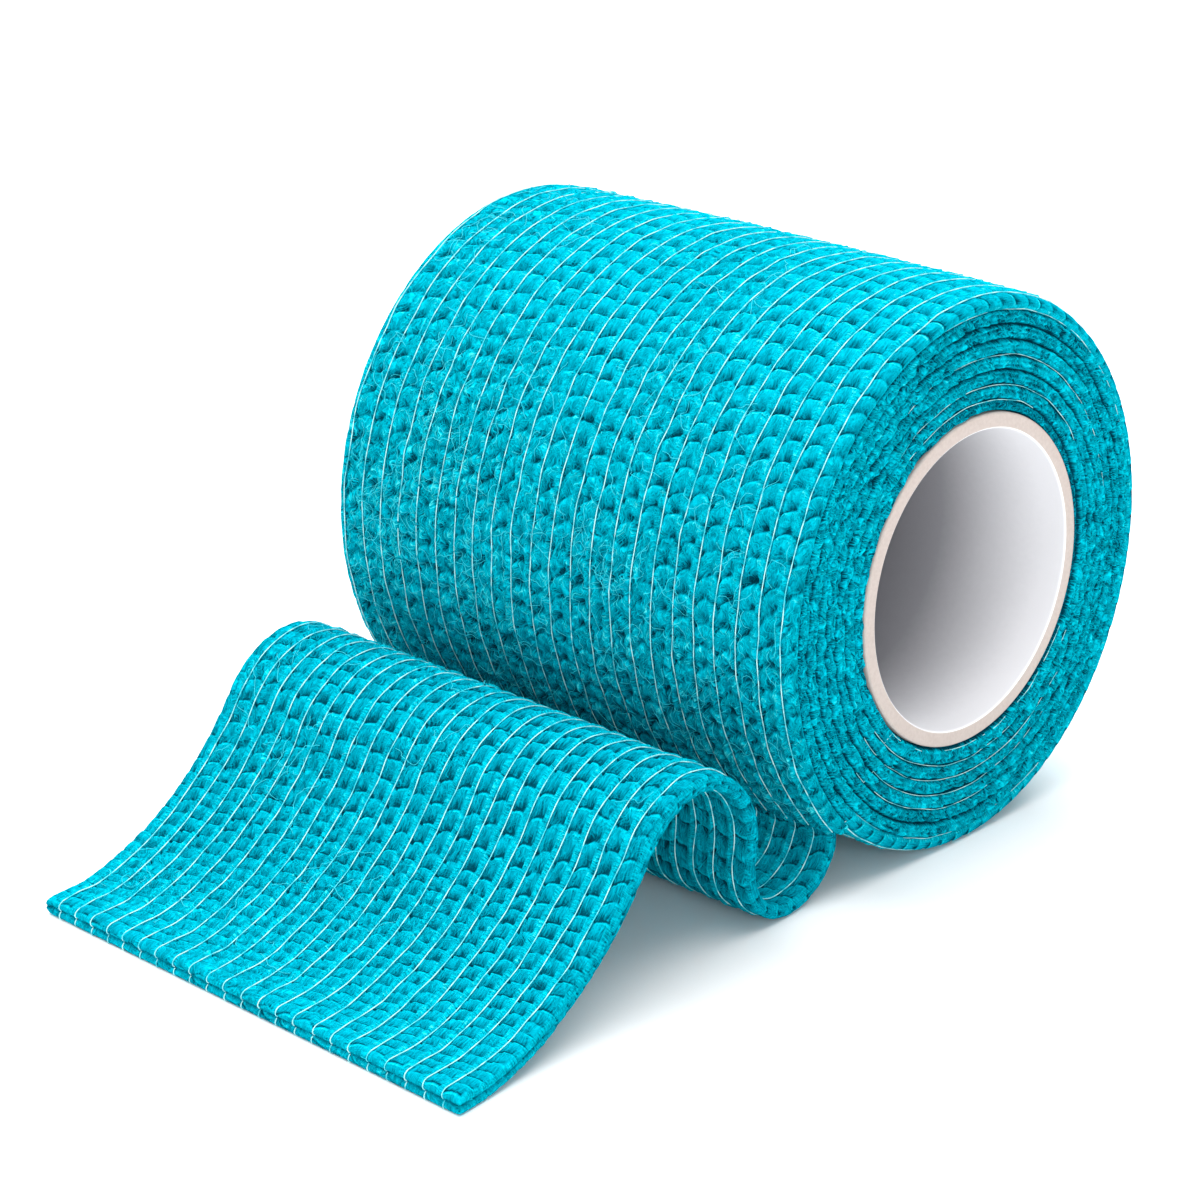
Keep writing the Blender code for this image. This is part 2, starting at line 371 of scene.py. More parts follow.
def flat_cloth(name, across, along):
    """A mesh with one point for each pair of lengths, as (mesh, u, s) with a row for each point."""
    bm = bmesh.new()
    bmesh.ops.create_grid(bm, x_segments=len(across) - 1, y_segments=len(along) - 1, size=0.5)
    mesh = finished_mesh(name, bm)
    flat = np.zeros(len(mesh.vertices) * 3)
    mesh.vertices.foreach_get("co", flat)
    flat = flat.reshape(-1, 3)
    i = np.rint((flat[:, 0] + 0.5) * (len(across) - 1)).astype(int)
    j = np.rint((flat[:, 1] + 0.5) * (len(along) - 1)).astype(int)
    return mesh, np.asarray(across)[i], np.asarray(along)[j]


def set_places(mesh, places):
    mesh.vertices.foreach_set("co", np.asarray(places, np.float32).ravel())
    mesh.update()


UV_UNIT = 160 * MM
UV_CELLS = 100
STANDING_UNIT = 0.65 * MM


def add_uv(mesh, name, first, second):
    """A UV map from two values for each point."""
    corners = np.zeros(len(mesh.loops), np.int32)
    mesh.loops.foreach_get("vertex_index", corners)
    layer = mesh.uv_layers.new(name=name)
    uv = np.stack([first[corners], second[corners]], axis=1)
    layer.data.foreach_set("uv", uv.astype(np.float32).ravel())


def add_value(mesh, name, values):
    """An attribute with one value for each point."""
    layer = mesh.attributes.new(name, "FLOAT", "POINT")
    layer.data.foreach_set("value", values.astype(np.float32))


def add_cloth_data(mesh, u, s, height, cells, matted):
    """Store the lengths and the places among the puffs as UV maps, each in units that keep it
    near 0 to 1, and how high each point stands and how clear its puff is as attributes."""
    add_uv(mesh, "cloth_lengths", u / UV_UNIT + 0.5, s / UV_UNIT)
    add_uv(mesh, "puff_cells", cells[0] / UV_CELLS, cells[1] / UV_CELLS)
    add_value(mesh, "standing", 1 + height / STANDING_UNIT)
    add_value(mesh, "clear_puffs", 1 - matted)


def add_piece(name, mesh, material):
    """Put a finished mesh in the scene as a piece that rides on the part."""
    mesh.materials.append(material)
    mesh.shade_smooth()
    piece = in_scene(name, mesh)
    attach(piece, "root")
    print(name, "triangles:", sum(len(p.vertices) - 2 for p in mesh.polygons))
    return piece


# %% [markdown]
# ## Material: crinkled nonwoven cloth
#
# The cloth is a mat of fine polypropylene fibres, dyed cyan and coated with natural latex that
# sticks only to itself. That is a matt, fibrous surface with no gloss, so it is fully rough.
# Fibres are some 0.02 mm thick, too fine to show, so they are drawn as streaks about 0.13 mm
# across: curly locks where the cloth is matted, straighter striae where its puffs are clear, and
# short ribs across the ropes. All streaks are noise on the cloth's own lengths, which are pushed
# about first so that they curl.
#
# One level sums up how high a point stands, its streaks and its place in the puff, and a ramp
# turns it to colour. That colour paints light on the cloth: a painted shade in the dents and a
# painted highlight on the crests and rims.

# %% Cloth material
def math_node(tree, operation, first, second=None, third=None):
    """A Math node whose inputs are constants or sockets, and its output socket."""
    node = add_node(tree, "ShaderNodeMath", {"operation": operation})
    for index, value in enumerate((first, second, third)):
        if isinstance(value, (int, float)):
            node.inputs[index].default_value = value
        elif value is not None:
            tree.links.new(value, node.inputs[index])
    return node.outputs["Value"]


def product(tree, first, *others):
    """The product of several sockets, as a socket."""
    for other in others:
        first = math_node(tree, "MULTIPLY", first, other)
    return first


def fade(tree, value, start, end):
    """A soft rise from 0 at start to 1 at end, as a socket."""
    node = add_node(tree, "ShaderNodeMapRange", {"interpolation_type": "SMOOTHSTEP"},
                    {"From Min": start, "From Max": end}, {"Value": value})
    return node.outputs["Result"]


def cloth_lengths_in_mm(tree):
    uv = add_node(tree, "ShaderNodeUVMap", {"uv_map": "cloth_lengths"})
    scale = UV_UNIT / MM
    return add_node(tree, "ShaderNodeMapping", values={"Scale": (scale, scale, scale)},
                    links={"Vector": uv.outputs["UV"]}).outputs["Vector"]


def noise_in_mm(tree, lengths, across, along, detail=2.0, lean=0.0, kind="FBM"):
    """Noise whose hills are across by along millimetres in size and lean by an angle."""
    turned = add_node(tree, "ShaderNodeMapping", {"vector_type": "TEXTURE"},
                      {"Scale": (across, along, 1.0), "Rotation": (0, 0, math.radians(lean))},
                      {"Vector": lengths})
    node = add_node(tree, "ShaderNodeTexNoise", {"noise_dimensions": "2D", "noise_type": kind},
                    {"Scale": 1.0, "Detail": detail}, {"Vector": turned.outputs["Vector"]})
    return node.outputs["Fac"]


def curled(tree, lengths, curl_size, reach, shift):
    """The lengths pushed about by up to reach millimetres, so that streaks on them curl."""
    noise = add_node(tree, "ShaderNodeTexNoise", {"noise_dimensions": "2D"},
                     {"Scale": 1 / curl_size, "Detail": 1.0}, {"Vector": lengths})
    pushed = add_node(tree, "ShaderNodeVectorMath", {"operation": "MULTIPLY_ADD"})
    tree.links.new(noise.outputs["Color"], pushed.inputs[0])
    pushed.inputs[1].default_value = (reach, reach, 0.0)
    tree.links.new(lengths, pushed.inputs[2])
    moved = add_node(tree, "ShaderNodeVectorMath", {"operation": "ADD"},
                     links={0: pushed.outputs["Vector"]})
    moved.inputs[1].default_value = (shift, shift, 0.0)
    return moved.outputs["Vector"]


def strands(tree, lengths):
    """Curly locks, straighter striae and cross ribs, each a noise from 0 to 1."""
    curls = curled(tree, lengths, 1.3, 1.5, 0.0)
    other_curls = curled(tree, lengths, 1.1, 1.5, 31.0)
    locks = math_node(tree, "MAXIMUM", noise_in_mm(tree, curls, 0.125, 1.30, lean=-35),
                      noise_in_mm(tree, other_curls, 0.125, 1.30, lean=40))
    striae = noise_in_mm(tree, curled(tree, lengths, 1.5, 0.4, 57.0), 0.15, 1.2)
    ribs = noise_in_mm(tree, curled(tree, lengths, 1.2, 0.5, 83.0), 1.1, 0.13)
    return locks, striae, ribs


def puff_counts(tree, locks):
    """How far a point is across its column and along its row, each from 0 to 1. The locks make
    the line between two rows ragged."""
    cells = add_node(tree, "ShaderNodeUVMap", {"uv_map": "puff_cells"})
    counts = add_node(tree, "ShaderNodeSeparateXYZ", links={"Vector": cells.outputs["UV"]})
    rows = math_node(tree, "MULTIPLY_ADD", counts.outputs["Y"], UV_CELLS,
                     math_node(tree, "MULTIPLY_ADD", locks, 0.10, -0.05))
    columns = math_node(tree, "MULTIPLY", counts.outputs["X"], UV_CELLS)
    return math_node(tree, "FRACT", columns), math_node(tree, "FRACT", rows)


def between(tree, value, start, full, fall, end):
    """1 from full to fall, with soft steps to 0 at start and end, as a socket."""
    not_yet = math_node(tree, "SUBTRACT", 1.0, fade(tree, value, fall, end))
    return product(tree, fade(tree, value, start, full), not_yet)


def cloth_detail(tree, strand_noises, rope, rim, groove, clear):
    """Streaks and fine lines as one relief around 0, for the colour and the bump."""
    locks, striae, ribs = strand_noises
    ribbed = product(tree, math_node(tree, "SUBTRACT", ribs, 0.50), rope)
    tangled = math_node(tree, "SUBTRACT", 1.3, clear)
    detail = product(tree, math_node(tree, "SUBTRACT", locks, 0.56), tangled)
    combed = product(tree, math_node(tree, "SUBTRACT", striae, 0.50), clear)
    for part, weight in ((combed, 0.36), (ribbed, 0.60), (rim, 0.15), (groove, -0.17)):
        detail = math_node(tree, "MULTIPLY_ADD", part, weight, detail)
    return detail


# %% The finished cloth
def cloth_material(name, deep_shade, shade, body, crest, rim_highlight):
    """The cloth's material, from five sRGB hex colours for ever higher levels, which run from a
    painted shade in the dents to a painted highlight on the rims.
    """
    material, tree, shader = new_material(name, roughness=1.0, specular=0.0)
    lengths = cloth_lengths_in_mm(tree)
    clear_puffs = add_node(tree, "ShaderNodeAttribute", {"attribute_name": "clear_puffs"})
    clear = clear_puffs.outputs["Fac"]
    strand_noises = strands(tree, lengths)
    patches = noise_in_mm(tree, lengths, 2.4, 2.0)
    beside, within = puff_counts(tree, strand_noises[0])

    # The same arches as in the mesh, but with a line as fine as the picture can show.
    # The rim line is a painted highlight and the groove line a painted shade, besides their bump.
    rim = between(tree, within, 0.80, 0.88, 0.92, 0.97)
    groove = math_node(tree, "MAXIMUM", fade(tree, within, 0.94, 1.0),
                       math_node(tree, "SUBTRACT", 1.0, fade(tree, within, 0.0, 0.14)))
    rope = product(tree, between(tree, beside, 0.60, 0.70, 0.90, 0.98), clear)
    share = product(tree, fade(tree, patches, 0.36, 0.56), clear,
                    math_node(tree, "MULTIPLY_ADD", rope, -0.8, 1.0))
    rim = product(tree, rim, share)
    groove = product(tree, groove, share)
    detail = cloth_detail(tree, strand_noises, rope, rim, groove, clear)

    # Each puff is painted paler from its groove to its rim, a painted shade and highlight,
    # but a rope is even.
    slope = product(tree, math_node(tree, "MULTIPLY_ADD", within, 0.45, -0.57), clear,
                    math_node(tree, "MULTIPLY_ADD", rope, -0.9, 1.0))
    standing = add_node(tree, "ShaderNodeAttribute", {"attribute_name": "standing"})
    level = math_node(tree, "MULTIPLY_ADD", detail, 3.4, standing.outputs["Fac"])
    level = math_node(tree, "ADD", level, slope)
    level = math_node(tree, "MULTIPLY_ADD", level, 0.55, 0.035)
    colour_by(tree, shader, level, (
        (0.0, deep_shade), (0.28, shade), (0.55, body), (0.82, crest), (1.0, rim_highlight)))
    raise_relief(tree, shader, detail, 0.42 * MM)
    return material


crinkled_cloth = cloth_material("crinkled_nonwoven_cloth",
                                "004A5C", "0092AA", "00B8D0", "00D2E6", "50F0F6")
# The cut edges get a paler copy of the cloth's colours, painted light because the ends of the roll
# take less light.
paler_cut_edge_cloth = cloth_material("cut_edge_of_the_cloth_painted_paler",
                                "00485C", "009CB6", "00C8E0", "00DCF0", "38E8F4")


# %% [markdown]
# ## The spiral
#
# The roll is an even spiral: its radius grows by one pitch a turn. It is slightly taller than it
# is wide, and its middle bulges a little. Where it stands on the table it is pressed flat.

# %% The spiral of the roll
TOP_LIFT = 0.55 * MM


def outer_radius(angle):
    return PEEL_RADIUS - TURN_PITCH * (PEEL_ANGLE - angle) / 360


def spiral_place(x, radius, angle):
    """Where a point of the wound cloth is, for arrays of x, radius and angle."""
    share = OVALITY * (radius - INNER_RADIUS) / (PEEL_RADIUS - INNER_RADIUS)
    turn = np.radians(angle)
    y = radius * np.cos(turn) * (1 - share)
    z = AXIS_Z + radius * np.sin(turn) * (1 + share)
    return np.stack([x, y, np.maximum(z, 0.0)], axis=1)


def lifted(places):
    """The turns lie a little looser on top of the left end, as the photograph shows."""
    x, y, z = np.asarray(places).T
    radius = np.hypot(y, z - AXIS_Z)
    angle = np.degrees(np.arctan2(z - AXIS_Z, y))
    looser = share_between(radius, INNER_RADIUS, PEEL_RADIUS)
    lift = TOP_LIFT * looser * np.clip(0.5 - x / WIDTH, 0, 1) * bell(angle, 92, 36)
    return np.stack([x, y * (1 + lift / radius), z + (z - AXIS_Z) * lift / radius], axis=1)


# %% [markdown]
# ## The outer turn
#
# One full turn of cloth, with ten grid lines to each puff both ways. It is made as two pieces, the
# half that comes off first and the half behind it, which meet at a row of points. At the ends of
# the roll the cut edge curls over the turn below: the last column of puffs bends round and tucks
# in, and its relief fades as it bends. Once round, the outer turn dives under its own start.

# %% Places on the outer turn
CURL_REACH = 1.4 * MM
CURL_DROP = 0.75 * MM
CURL_ANGLE = math.radians(140)
CURL_LENGTH = 2.55 * MM
CURL_CALM = 0.85
ROLL_LINES_PER_PUFF = 10
FLAT_HALF = WIDTH / 2 - CURL_REACH
TURN_LENGTH = math.tau * (PEEL_RADIUS - TURN_PITCH / 2)


def outer_turn_place(u, s, height):
    """u is across the cloth, with the curl as part of it. s goes back from the peel."""
    angle = PEEL_ANGLE - 360 * s / TURN_LENGTH
    curl = np.clip((np.abs(u) - FLAT_HALF) / CURL_LENGTH, 0, 1) * CURL_ANGLE
    side = np.sign(u)
    x = side * (np.minimum(np.abs(u), FLAT_HALF) + CURL_REACH * np.sin(curl))
    drop = CURL_DROP * (1 - np.cos(curl))
    crown = CROWN * (1 - (2 * x / WIDTH) ** 2)
    height = height * (1 - CURL_CALM * smooth_step(curl, 0, math.radians(60)))
    radius = outer_radius(angle) + crown - drop + height * np.cos(curl)
    return lifted(spiral_place(x + side * height * np.sin(curl), radius, angle))


def roll_height(u, s):
    return crinkle(u, s, THREAD_PITCH, True, ROLL_SEED)


# %% Build the outer turn
ROOT_OVERLAP = 0.4 * MM
TUCK = 2.5 * MM
half_flat = FLAT_HALF + CURL_LENGTH
across_lines = np.linspace(-half_flat, half_flat, (THREADS + 1) * ROLL_LINES_PER_PUFF + 1)


def outer_piece(name, start, end):
    """One stretch of the outer turn, from one length along the cloth to another."""
    lines = max(2, round((end - start) / ROW_PITCH * ROLL_LINES_PER_PUFF))
    mesh, u, s = flat_cloth(name, across_lines, np.linspace(start, end, lines + 1))
    height = roll_height(u, s)
    tucked = smooth_step(s, TURN_LENGTH - 0.5 * MM, TURN_LENGTH + TUCK) * TURN_PITCH
    set_places(mesh, outer_turn_place(u, s, height - tucked))
    add_cloth_data(mesh, u, s, height, puff_place(u, s, THREAD_PITCH, ROLL_SEED),
                   matting(u, s, ROLL_SEED))
    return add_piece(name, mesh, crinkled_cloth)


HALF_TURN = TURN_LENGTH / 2
outer_turn = outer_piece("outer_turn", -ROOT_OVERLAP, HALF_TURN)
outer_piece("outer_turn_back", HALF_TURN, TURN_LENGTH + TUCK)

# %% [markdown]
# ## The turns inside
#
# At the ends of the roll each of the other turns shows its cut edge: a rounded, fibrous band with
# a dark line to its neighbour, a real gap with painted shade in it. A strip of grid is laid along
# the spiral from the second turn in to the core. Where one turn meets the next, the strip's points
# fall on the same places, and are merged. Round the core the strip runs out to nothing, so the
# points there are merged a little wider. Both ends are then bridged by an inner and an outer
# wall, which makes one closed body.

# %% Cut edges of the inner turns
EDGE_STEPS = 480
EDGE_LINES = 12
GAP_DEPTH = 0.42 * MM
EDGE_MATTED = 0.75
EDGE_LEVEL = 1.6 * GAP_DEPTH
PAINTED_SEAM_SHADE = 0.35 * MM
HUG = 0.24 * MM
SAME_PLACE = 0.004 * MM
THIN_END = 0.06 * MM


def cut_edge_height(across, angle, seed):
    """How far the cut edges stand out of the gaps between turns. across is 0 to 1 in a turn."""
    turn = (PEEL_ANGLE - angle) / 360
    along = np.radians(PEEL_ANGLE - angle) * (PEEL_RADIUS - TURN_PITCH * turn)
    count = turn + across
    band = 1 - np.abs(2 * across - 1) ** 7
    wave = smooth_noise(turn, along, 0.6, 1.7 * MM, seed) * 0.10
    strands = sum(bell(across + wave, centre, 0.09) for centre in (0.20, 0.50, 0.80))
    slanted = along + across * 0.55 * MM
    stripes = smooth_noise(count, slanted, 0.45, 0.42 * MM, seed + 1)
    fluff = smooth_noise(count, along, 0.17, 0.32 * MM, seed + 2)
    swell = smooth_noise(turn, along, 0.5, 14 * MM, seed + 3)
    puffs = smooth_noise(turn, along, 0.25, ROW_PITCH * 0.8, seed + 4)
    pits = smooth_step(smooth_noise(count, along, 0.3, 0.6 * MM, seed + 5), 0.35, 0.7)
    detail = 0.20 * strands + 0.14 * stripes + 0.13 * fluff + 0.10 * swell + 0.06 * puffs
    return band * (GAP_DEPTH + MM * (detail - 0.22 * pits))


def edge_strip(name, side, seed):
    """One end of the roll as (mesh, across, angle)."""
    across = np.linspace(0, 1, EDGE_LINES + 1)
    angles = np.linspace(PEEL_ANGLE - 360, PEEL_ANGLE - 360 * TURNS, EDGE_STEPS * (TURNS - 1) + 1)
    mesh, w, angle = flat_cloth(name, across, angles)
    thickness = np.minimum(TURN_PITCH, outer_radius(angle) - INNER_RADIUS)
    height = cut_edge_height(w, angle, seed) * thickness / TURN_PITCH
    height = np.where((w < 0.001) | (w > 0.999), 0.0, height)
    radius = outer_radius(angle) - w * thickness
    radius = radius - HUG * smooth_step(radius, INNER_RADIUS + 0.8 * MM, INNER_RADIUS)
    x = side * (WIDTH / 2 - GAP_DEPTH - 0.15 * MM + height)
    set_places(mesh, spiral_place(x, radius, angle))
    turn = (PEEL_ANGLE - angle) / 360
    length = math.tau * turn * (PEEL_RADIUS - TURN_PITCH * turn / 2)
    middle_of_a_row = np.full_like(w, 0.5)
    # Painted shade: the colour is darker along the line between two turns, and EDGE_LEVEL lowers
    # the colour level of the whole cut edge, so the gaps between turns take the darkest colour.
    painted_seam_shade = PAINTED_SEAM_SHADE * bell(w, np.rint(w), 0.07) + EDGE_LEVEL
    add_cloth_data(mesh, length, (turn + w) * TURN_PITCH, height - painted_seam_shade,
                   (w, middle_of_a_row), np.full_like(w, EDGE_MATTED))
    return mesh


ends = [edge_strip("turn_ends_right", 1, 31), edge_strip("turn_ends_left", -1, 47)]
bm = bmesh.new()
for end in ends:
    bm.from_mesh(end)
bmesh.ops.remove_doubles(bm, verts=bm.verts, dist=SAME_PLACE)
middle_radius = (INNER_RADIUS + PEEL_RADIUS) / 2 - TURN_PITCH


def borders(inside):
    """The open edges round the core, or those round the outside."""
    found = []
    for edge in bm.edges:
        centre = (edge.verts[0].co + edge.verts[1].co) / 2
        near_core = math.hypot(centre.y, centre.z - AXIS_Z) < middle_radius
        if edge.is_boundary and near_core == inside:
            found.append(edge)
    return found


inner_points = {vert for edge in borders(True) for vert in edge.verts}
bmesh.ops.remove_doubles(bm, verts=list(inner_points), dist=THIN_END)
for inside in (True, False):
    ring = borders(inside)
    made = bmesh.ops.bridge_loops(bm, edges=ring)
    print("wall of", len(made["faces"]), "faces from", len(ring), "edges")
for vert, place in zip(bm.verts, lifted([vert.co for vert in bm.verts])):
    vert.co = place
bmesh.ops.recalc_face_normals(bm, faces=bm.faces)
print("open edges left on the inner turns:", sum(edge.is_boundary for edge in bm.edges))
add_piece("inner_turns", finished_mesh("inner_turns", bm), paler_cut_edge_cloth)
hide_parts("wound_roll")

# %% [markdown]
# ## The path of the loose end
#
# The loose end follows the same chain of arcs as the CAD solid: it peels off, turns in a round
# loop on the table, rises over the crest, and runs down the slope to the landing and the hem.

# %% Path of the loose end
BENDS = (
    # radius,      turn,  thickness at the end
    (1.60 * MM,   -61.0, 1.15 * MM),
    (5.19 * MM,  -176.0, 1.28 * MM),
    (6.90 * MM,   111.0, 1.30 * MM),
    (8.60 * MM,    45.0, 1.30 * MM),
    (27.0 * MM,   -45.0, 1.40 * MM),
    (10.0 * MM,    -9.0, 1.60 * MM),
)
ROOT_THICKNESS = TURN_PITCH - FIT_GAP
LOOSE_WIDTH = 47.3 * MM
HEM_LENGTH = 2.6 * MM
VEER = 3.7 * MM
VEER_START_Y = -19.0 * MM
VEER_END_Y = -60.7 * MM
SKEW = 0.03
SKEW_FULL_Y = -30.0 * MM
PATH_STEP_ANGLE = 1.0


def loose_path():
    """The middle line as arrays: length from the peel, y, z, heading and thickness."""
    start = spiral_place(np.zeros(1), np.array([PEEL_RADIUS - ROOT_THICKNESS / 2]),
                         np.array([PEEL_ANGLE]))[0]
    heading = math.radians(PEEL_ANGLE + 90 - 360)
    points = [(0.0, start[1] + FIT_GAP * math.cos(heading),
               start[2] + FIT_GAP * math.sin(heading), heading, ROOT_THICKNESS)]
    for radius, turn, thickness in BENDS:
        steps = max(2, math.ceil(abs(turn) / PATH_STEP_ANGLE))
        small_turn = math.radians(turn) / steps
        growth = (thickness - points[-1][4]) / steps
        for _ in range(steps):
            length, y, z, heading, thick = points[-1]
            chord = 2 * radius * math.sin(abs(small_turn) / 2)
            points.append((length + chord, y + chord * math.cos(heading + small_turn / 2),
                           z + chord * math.sin(heading + small_turn / 2),
                           heading + small_turn, thick + growth))
    length, y, z, heading, thick = points[-1]
    points.append((length + HEM_LENGTH, y + HEM_LENGTH * math.cos(heading),
                   z + HEM_LENGTH * math.sin(heading), heading, thick))
    return np.array(points).T


path = loose_path()
LOOSE_LENGTH = path[0][-1]
print("loose end along the cloth in mm:", round(LOOSE_LENGTH / MM, 2))

# %% [markdown]
# ## The loose end
#
# It is a sheet about 1.3 mm thick, so it gets two crinkled grids, one for each side. Each goes
# round half of the cut edge, and the two are merged where they meet. Towards the hem the two
# plies of the cloth part, which is a groove all round: there each grid goes round the whole edge
# of its own ply. The crinkle is flatter here than on the roll, and flatter still at the hem.

# %% Places on the loose end
RIM_REACH = 0.65 * MM
RIM_LENGTH = 1.1 * MM
LOOSE_LINES_PER_PUFF = 7.5
GROOVE_DEPTH = 0.5 * MM
GROOVE_START = LOOSE_LENGTH - 12 * MM
GROOVE_FULL = LOOSE_LENGTH - 9 * MM
LOOSE_FLAT_HALF = LOOSE_WIDTH / 2 - RIM_REACH
LOOSE_FLAT_LENGTH = LOOSE_LENGTH - RIM_REACH
LOOSE_THREAD_PITCH = (LOOSE_WIDTH - 2 * 1.7 * MM) / (THREADS - 1)


def rim(distance, groove):
    """Round a cut edge, as (reach, height share, slope angle), for a distance past the flat."""
    end_angle = math.pi / 2 * (1 + groove)
    angle = np.clip(distance / RIM_LENGTH, 0, 1) * end_angle
    past = np.clip(angle - math.pi / 2, 0, None)
    reach = RIM_REACH * np.sin(np.minimum(angle, math.pi / 2)) - GROOVE_DEPTH * (1 - np.cos(past))
    share = 1 - (1 - np.cos(angle)) / (1 - np.cos(end_angle))
    return reach, share, angle


def loose_place(u, s, height, side):
    """side is 1 for the roll's outer side of the cloth, and -1 for the other."""
    groove_s = smooth_step(s, GROOVE_START, GROOVE_FULL)
    reach_u, share_u, angle_u = rim(np.abs(u) - LOOSE_FLAT_HALF, groove_s)
    reach_s, share_s, angle_s = rim(s - LOOSE_FLAT_LENGTH, np.ones_like(s))
    x = np.sign(u) * (np.minimum(np.abs(u), LOOSE_FLAT_HALF) + reach_u
                      + height * np.sin(angle_u))
    length = np.minimum(s, LOOSE_FLAT_LENGTH) + reach_s + height * np.sin(angle_s)
    y, z, heading, thickness = (np.interp(length, path[0], row) for row in path[1:])
    beyond = np.maximum(length - LOOSE_LENGTH, 0)
    y = y + beyond * np.cos(heading)
    z = z + beyond * np.sin(heading)
    offset = side * (thickness / 2 * share_u * share_s
                     + height * np.cos(angle_u) * np.cos(angle_s))
    skew = SKEW * share_between(y, VEER_START_Y, SKEW_FULL_Y)
    veer = VEER * share_between(y, VEER_START_Y, VEER_END_Y)
    y = y + offset * np.sin(heading)
    z = z - offset * np.cos(heading)
    return np.stack([x + veer, y - x * skew, np.maximum(z, 0.0)], axis=1)


LOOSE_RELIEF = 0.66
LESS_AT_HEM = 0.22
LESS_AT_EDGE = 0.7


def loose_height(u, s, side):
    """The crinkle, calmer towards the hem and none in the groove. The arches of the roll run back
    from its peel, and go on here the same way, so the length counts down."""
    height = crinkle(u, -s, LOOSE_THREAD_PITCH, False, LOOSE_SEED[side])
    to_hem = smooth_step(s, LOOSE_LENGTH - 9 * MM, LOOSE_LENGTH - 2 * MM)
    relief = LOOSE_RELIEF - LESS_AT_HEM * to_hem
    relief = relief * (1 - smooth_step(s, LOOSE_LENGTH - 2.2 * MM, LOOSE_LENGTH - 0.8 * MM))
    past = np.maximum(np.abs(u) - LOOSE_FLAT_HALF, s - LOOSE_FLAT_LENGTH)
    relief = relief * (1 - LESS_AT_EDGE * smooth_step(past, -0.9 * MM, 0))
    return height * relief * (1 - smooth_step(past, 0.4 * RIM_LENGTH, RIM_LENGTH))


# %% Build the loose end
SIDE_RIM_LINES = 5
HEM_RIM_LINES = 6
RIM_WELD = 0.02 * MM


def rim_lines(flat_end, count):
    """Places of the grid lines past the flat part of the cloth."""
    return [flat_end + RIM_LENGTH * i / count for i in range(1, count + 1)]


flat_columns = int(2 * LOOSE_FLAT_HALF / LOOSE_THREAD_PITCH * LOOSE_LINES_PER_PUFF)
outer_lines = rim_lines(LOOSE_FLAT_HALF, SIDE_RIM_LINES)
across_lines = [-line for line in reversed(outer_lines)]
across_lines += list(np.linspace(-LOOSE_FLAT_HALF, LOOSE_FLAT_HALF, flat_columns + 1))
across_lines += outer_lines
flat_rows = int(LOOSE_FLAT_LENGTH / ROW_PITCH * LOOSE_LINES_PER_PUFF)
along_lines = list(np.linspace(-0.5 * MM, LOOSE_FLAT_LENGTH, flat_rows + 1))
along_lines += rim_lines(LOOSE_FLAT_LENGTH, HEM_RIM_LINES)

bm = bmesh.new()
for side in (1, -1):
    mesh, u, s = flat_cloth("loose_side", across_lines, along_lines)
    height = loose_height(u, s, side)
    set_places(mesh, loose_place(u, s, height, side))
    # The height that sets the colour is a little deeper than the real one, less so at the hem,
    # which deepens the painted shade in the loose end's colour.
    near_hem = smooth_step(s, LOOSE_LENGTH - 16 * MM, LOOSE_LENGTH - 4 * MM)
    shaded_height = (1.05 - 0.15 * near_hem) * height - (0.15 - 0.09 * near_hem) * MM
    add_cloth_data(mesh, u, s, shaded_height, puff_place(u, -s, LOOSE_THREAD_PITCH, LOOSE_SEED[side]),
                   matting(u, -s, LOOSE_SEED[side]))
    bm.from_mesh(mesh)
border = [vert for vert in bm.verts if vert.is_boundary]
bmesh.ops.remove_doubles(bm, verts=border, dist=RIM_WELD)
root_ring = [edge for edge in bm.edges if edge.is_boundary]
print("open edges at the root:", len(root_ring))
bmesh.ops.holes_fill(bm, edges=root_ring)
bmesh.ops.recalc_face_normals(bm, faces=bm.faces)
loose_mesh = finished_mesh("loose_end_cloth", bm)
loose_cloth = add_piece("loose_end_cloth", loose_mesh, crinkled_cloth)
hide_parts("loose_end")

# %% [markdown]
# ## Material: elastic thread
#
# The threads are bare spandex, a clear rubbery filament that looks white where it is stretched
# over the cloth and takes on the cyan where fibres cross it.

# %% Thread material
thread_material, tree, shader = new_material("bare_spandex_thread", roughness=0.40)
cover = speckle(tree, 1.1 * MM, 2.0)
colour_by(tree, shader, cover, ((0.36, "30D0DE"), (0.60, "C4FFFC")))

# %% [markdown]
# ## The threads
#
# Each thread is a curve with a round bevel. It runs in its valley, straight from one puff to the
# next with a small kink at each, and sinks into the cloth here and there. The same place
# functions as the cloth's carry it round the roll and over the hem, so thread and cloth can't
# drift apart. Its points lie closer together at its end, where it turns over the hem's round edge.

# %% Threads
THREAD_RADIUS = 0.044 * MM
THREAD_STEP = 0.45 * MM
FINE_END = 1.8 * MM


def kinks(length, seed, size, spacing=ROW_PITCH):
    """Small sideways steps with a kink about every row, for an array of lengths."""
    knots = np.arange(length.min() - spacing, length.max() + 2 * spacing, spacing)
    return np.interp(length, knots, np.random.default_rng(seed).uniform(-size, size, len(knots)))


def thread_curve(name, lines, material, radius=THREAD_RADIUS, roundness=1):
    """One curve object, made a mesh, from several lines of places."""
    curve = bpy.data.curves.new(name, "CURVE")
    curve.dimensions = "3D"
    curve.bevel_depth = radius
    curve.bevel_resolution = roundness
    curve.use_fill_caps = True
    for line in lines:
        spline = curve.splines.new("POLY")
        spline.points.add(len(line) - 1)
        homogeneous = np.c_[line, np.ones(len(line))]
        spline.points.foreach_set("co", homogeneous.astype(np.float32).ravel())
    holder = in_scene(name + "_line", curve)
    mesh = bpy.data.meshes.new_from_object(holder)
    mesh.name = name
    bpy.data.objects.remove(holder)
    mesh.materials.clear()
    return add_piece(name, mesh, material)


